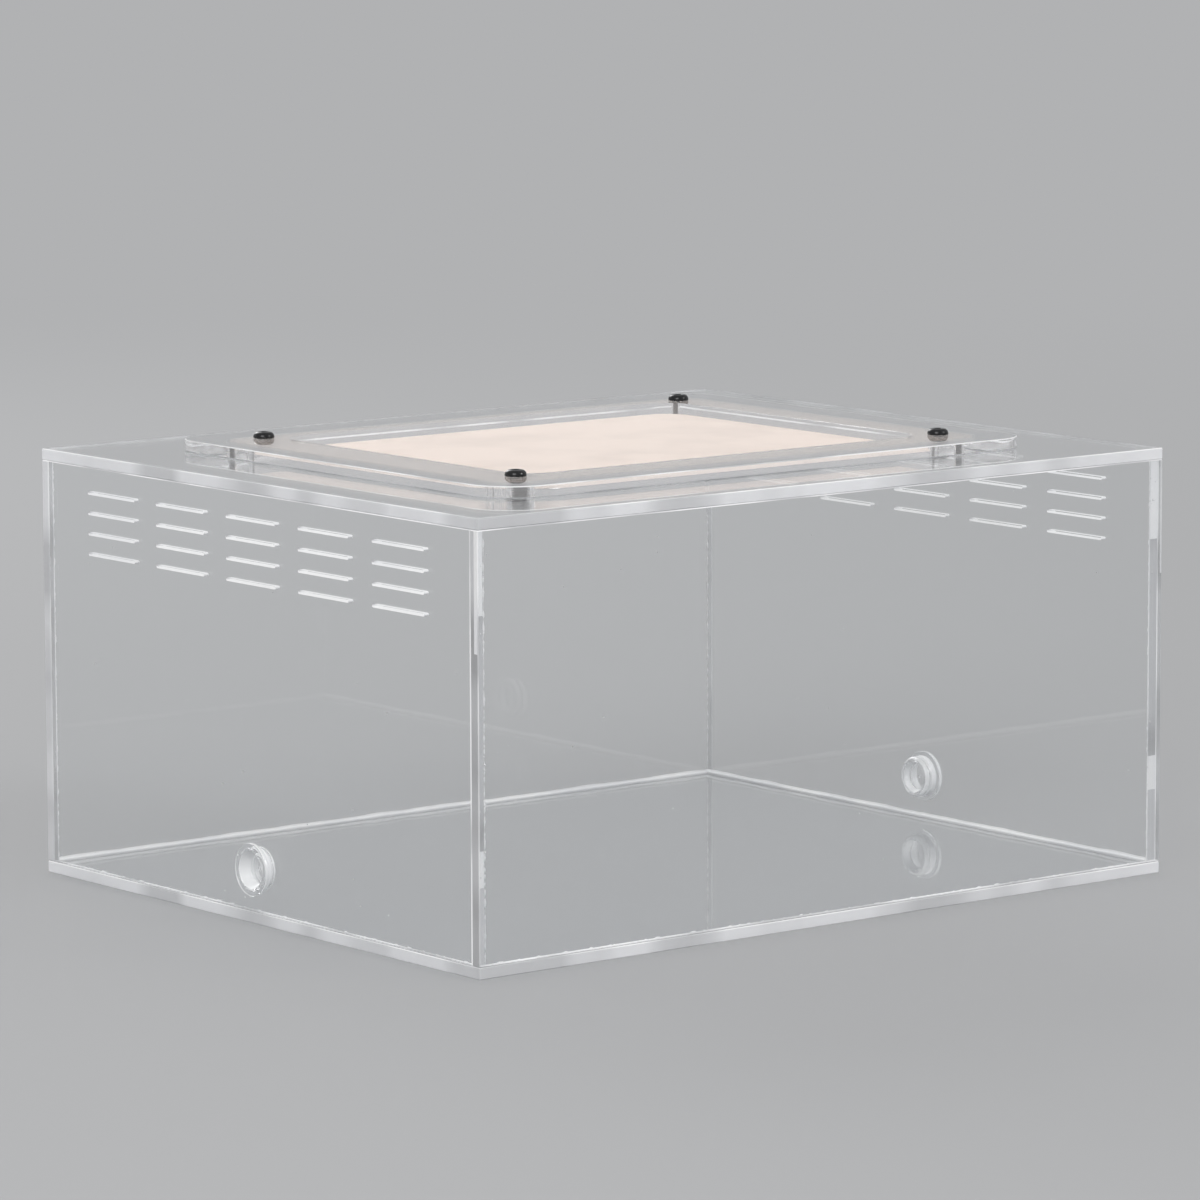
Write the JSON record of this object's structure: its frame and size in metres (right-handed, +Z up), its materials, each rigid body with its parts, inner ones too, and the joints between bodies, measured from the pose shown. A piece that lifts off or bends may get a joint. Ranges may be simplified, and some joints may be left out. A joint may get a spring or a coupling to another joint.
{
  "type": "ant habitat",
  "caption": "Clear acrylic foraging box for an ant colony: vented end walls, plugged tube ports and a lift-out lid with a fine steel mesh window.",
  "frame": {"origin": "centre of the box's footprint, on the surface that it stands on", "axes": "+Z up; +X towards the right end wall, along the long walls; +Y towards the back wall"},
  "size_m": [0.303, 0.25, 0.1563],
  "materials": {
    "clear_acrylic": "polished clear acrylic sheet with satin laser-cut edges",
    "steel_mesh": "fine woven stainless wire cloth",
    "black_steel": "gloss black",
    "clear_plug": "clear moulded plastic"
  },
  "bodies": {
    "case": {"base_panel": "clear_acrylic", "front_panel": "clear_acrylic", "back_panel": "clear_acrylic", "left_panel": "clear_acrylic", "right_panel": "clear_acrylic", "top_panel": "clear_acrylic"},
    "lid": {"lid_plate": "clear_acrylic", "vent_mesh": "steel_mesh", "clamp_frame": "clear_acrylic", "lid_screw_front_left": "black_steel", "lid_screw_front_right": "black_steel", "lid_screw_back_left": "black_steel", "lid_screw_back_right": "black_steel", "lid_nut_front_left": "black_steel", "lid_nut_front_right": "black_steel", "lid_nut_back_left": "black_steel", "lid_nut_back_right": "black_steel"},
    "left_plug": {"left_port_plug": "clear_plug"},
    "right_plug": {"right_port_plug": "clear_plug"}
  },
  "joints": [
    {"name": "lid_lift", "type": "slide", "parent": "case", "child": "lid", "axis": [0, 0, 1], "range_m": [0, 0.04]},
    {"name": "left_plug_pull", "type": "slide", "parent": "case", "child": "left_plug", "axis": [-1, 0, 0], "range_m": [0, 0.015]},
    {"name": "right_plug_pull", "type": "slide", "parent": "case", "child": "right_plug", "axis": [1, 0, 0], "range_m": [0, 0.015]}
  ]
}
